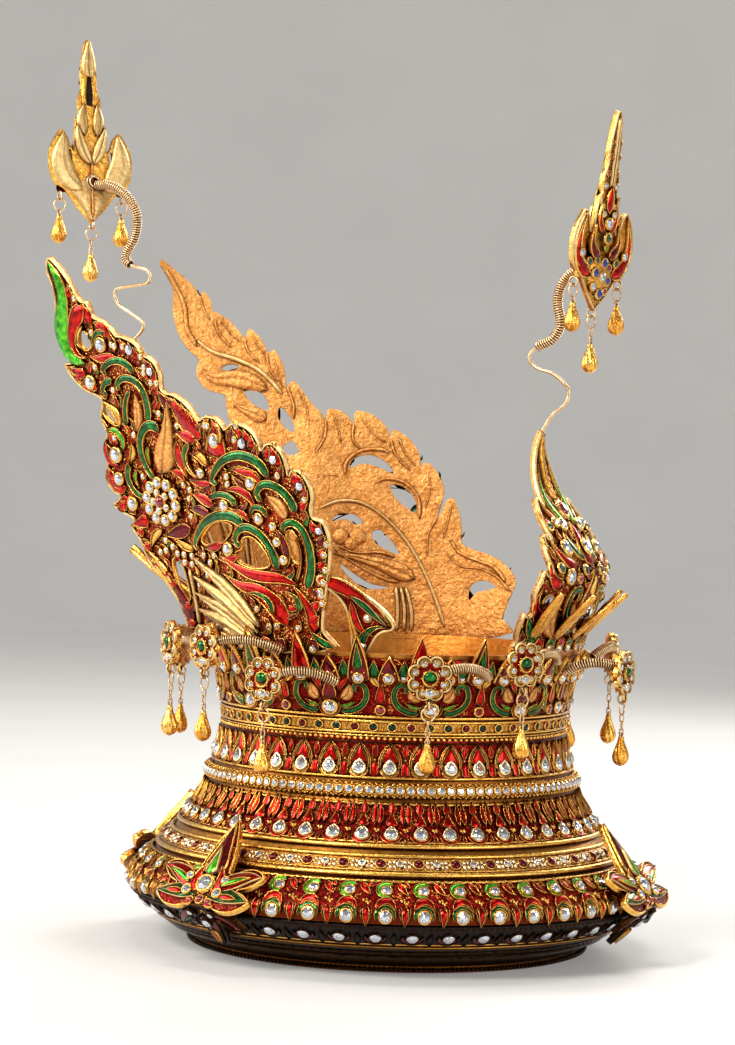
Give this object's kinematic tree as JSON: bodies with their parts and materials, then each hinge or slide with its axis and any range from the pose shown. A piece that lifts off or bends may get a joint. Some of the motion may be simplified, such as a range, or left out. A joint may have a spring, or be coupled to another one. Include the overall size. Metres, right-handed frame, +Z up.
{
  "type": "flame tiara",
  "caption": "Gilt ring crown with stone rows, two tall openwork flame wings, front and rear flame leaves, and sprays with hanging drops on coil wires.",
  "frame": {"origin": "centre of the head opening, on the crown's axis in the plane that the rim stands on", "axes": "+Z up along the crown's axis, the crown's front towards -Y, the wings either side of X = 0"},
  "size_m": [0.279, 0.3396, 0.4526],
  "materials": {
    "gilt_body": "gilt sheet with a fine hammered grain",
    "gilt": "bright gilt relief, darker in the recesses",
    "matte_gilt": "matte orange gilt plate",
    "wire": "dull copper-gold wire",
    "red_enamel": "glossy translucent deep red enamel",
    "green_enamel": "glossy translucent green enamel",
    "dark_enamel": "glossy near-black ground enamel",
    "crystal": "faceted white crystal with a foil back",
    "colour_stone": "faceted coloured glass stone with a foil back"
  },
  "bodies": {
    "root": {"crown_body": "gilt_body", "base_beading": "gilt", "lower_petal_row": "red_enamel", "upper_petal_row": "green_enamel", "flange_stone_band": "red_enamel", "lower_leaf_row": "red_enamel", "crystal_chain": "crystal", "upper_leaf_row": "red_enamel", "dot_stone_band": "green_enamel", "scroll_band": "gilt", "ridge_ornament_front": "red_enamel", "ridge_ornament_back": "red_enamel", "ridge_ornament_left": "red_enamel", "ridge_ornament_right": "red_enamel", "wing_left": "matte_gilt", "wing_right": "matte_gilt", "front_flame": "gilt", "rear_flame": "gilt", "front_coil_wire": "wire", "rear_coil_wire": "wire", "front_spray": "gilt", "rear_spray": "gilt", "front_drop_1": "gilt", "front_drop_2": "gilt", "front_drop_3": "gilt", "rear_drop_1": "gilt", "rear_drop_2": "gilt", "rear_drop_3": "gilt", "small_flower_1": "gilt", "small_flower_2": "gilt", "small_flower_3": "gilt", "small_flower_4": "gilt", "small_flower_5": "gilt", "small_flower_6": "gilt", "small_flower_7": "gilt", "small_flower_8": "gilt", "small_flower_9": "gilt", "small_flower_10": "gilt", "small_flower_11": "gilt", "small_flower_12": "gilt", "small_drop_1": "gilt", "small_drop_2": "gilt", "small_drop_3": "gilt", "small_drop_4": "gilt", "small_drop_5": "gilt", "small_drop_6": "gilt", "small_drop_7": "gilt", "small_drop_8": "gilt", "small_drop_9": "gilt", "small_drop_10": "gilt", "small_drop_11": "gilt", "small_drop_12": "gilt"}
  },
  "joints": []
}
